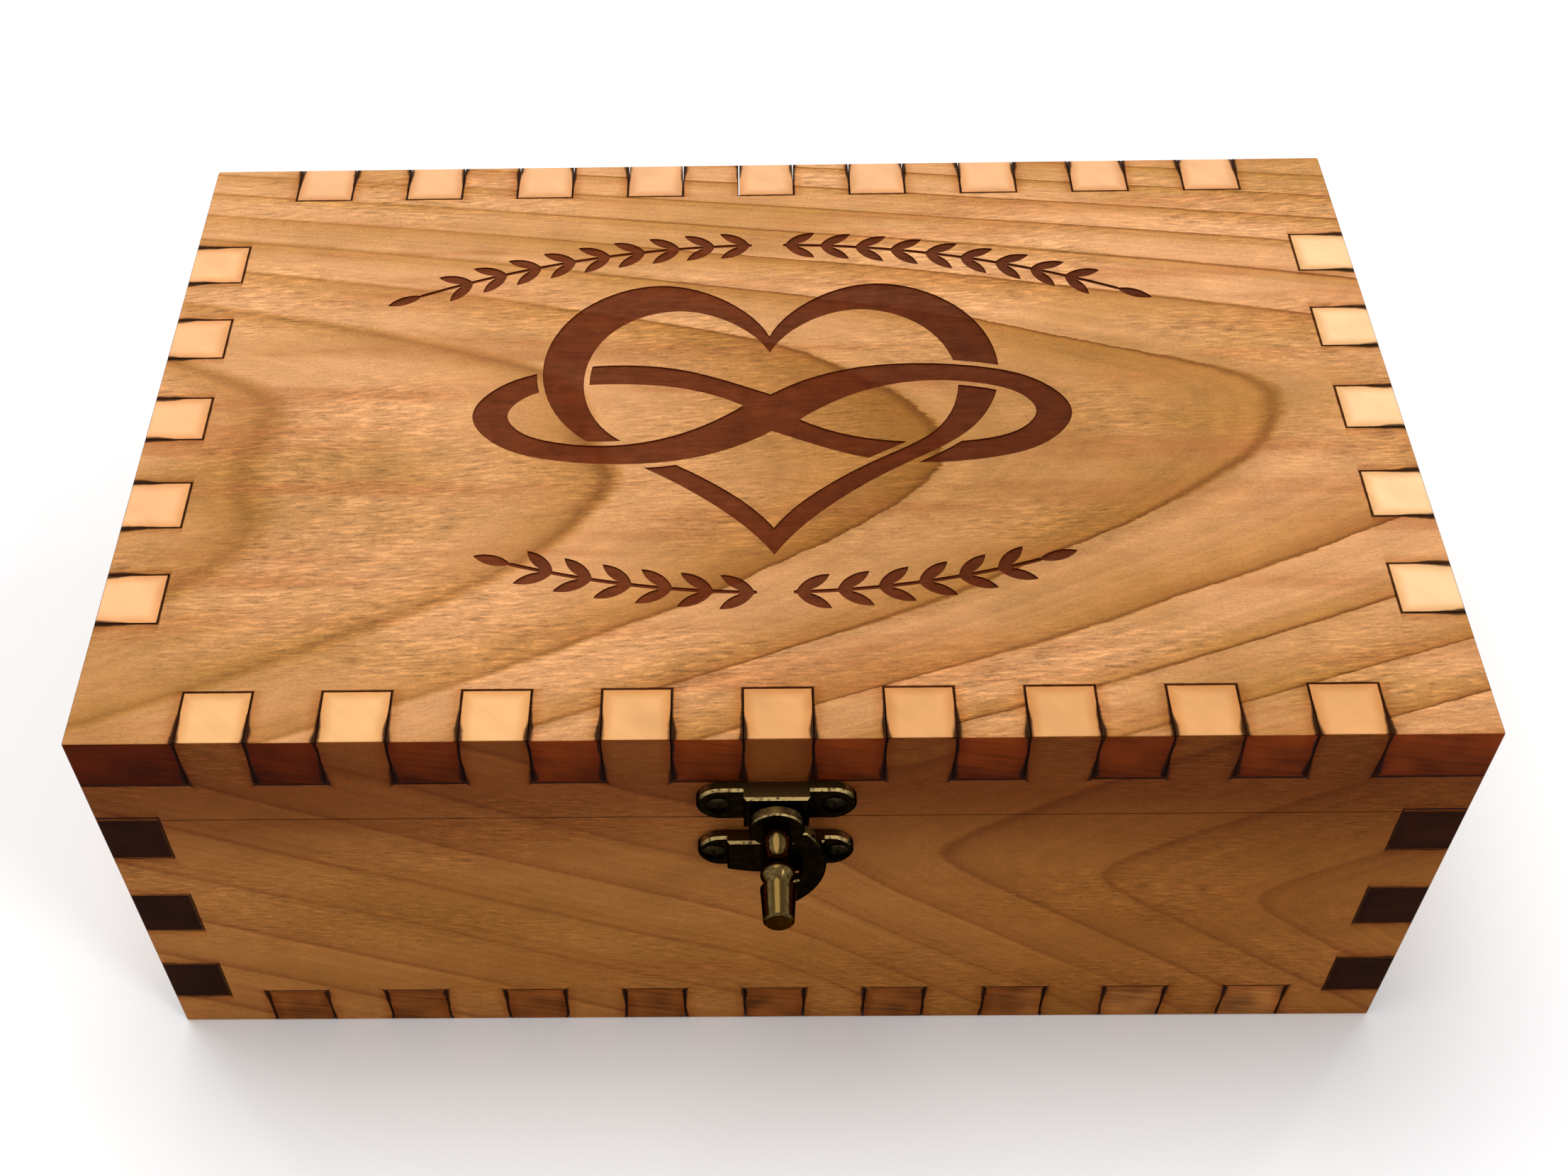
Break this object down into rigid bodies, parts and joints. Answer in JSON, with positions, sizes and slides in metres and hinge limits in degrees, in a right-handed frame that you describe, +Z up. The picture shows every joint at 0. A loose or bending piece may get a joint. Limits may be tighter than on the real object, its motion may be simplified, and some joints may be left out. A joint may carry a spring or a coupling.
{
  "type": "keepsake box",
  "caption": "Finger-jointed wooden keepsake box with a hinged lid, engraved top and a bronze swing-hook latch.",
  "frame": {"origin": "middle of the underside of the wooden box, hinges and latch not counted", "axes": "+Z up; +X to the right seen from the front, along the long side; +Y towards the hinged back"},
  "size_m": [0.276, 0.2192, 0.1032],
  "materials": {
    "cherry_top": "satin oiled cherry, flat-sawn",
    "cherry_walls": "satin oiled cherry, paler",
    "cherry_ends": "satin oiled cherry, end grain burnt dark",
    "cherry_bottom": "satin oiled cherry, red-brown",
    "antique_bronze": "antique bronze, dark lacquer rubbed bright on the edges",
    "bronze_screws": "antique bronze"
  },
  "bodies": {
    "box_body": {"front_panel": "cherry_walls", "back_panel": "cherry_walls", "left_panel": "cherry_ends", "right_panel": "cherry_ends", "bottom_panel": "cherry_bottom", "latch_keeper_plate": "antique_bronze", "latch_keeper_post": "antique_bronze", "latch_keeper_plate_screws": "bronze_screws", "hinge_left_body_leaf": "antique_bronze", "hinge_right_body_leaf": "antique_bronze", "hinge_left_pin": "antique_bronze", "hinge_right_pin": "antique_bronze", "hinge_body_screws": "bronze_screws"},
    "lid": {"lid_top_panel": "cherry_top", "lid_front_strip": "cherry_walls", "lid_back_strip": "cherry_walls", "lid_left_strip": "cherry_walls", "lid_right_strip": "cherry_walls", "latch_pivot_plate": "antique_bronze", "latch_pivot_plate_screws": "bronze_screws", "hinge_left_lid_leaf": "antique_bronze", "hinge_right_lid_leaf": "antique_bronze", "hinge_lid_screws": "bronze_screws"},
    "latch_turning": {"latch_hook": "antique_bronze", "latch_knob": "antique_bronze", "latch_spacer": "antique_bronze"}
  },
  "joints": [
    {"name": "lid_hinge", "type": "hinge", "parent": "box_body", "child": "lid", "pos_m": [0, 0.095, 0.0787], "axis": [-1, 0, 0], "range_deg": [0, 180]},
    {"name": "latch_turn", "type": "hinge", "parent": "lid", "child": "latch_turning", "pos_m": [-0.0003, -0.1, 0.0844], "axis": [0, -1, 0], "range_deg": [0, 285]}
  ]
}
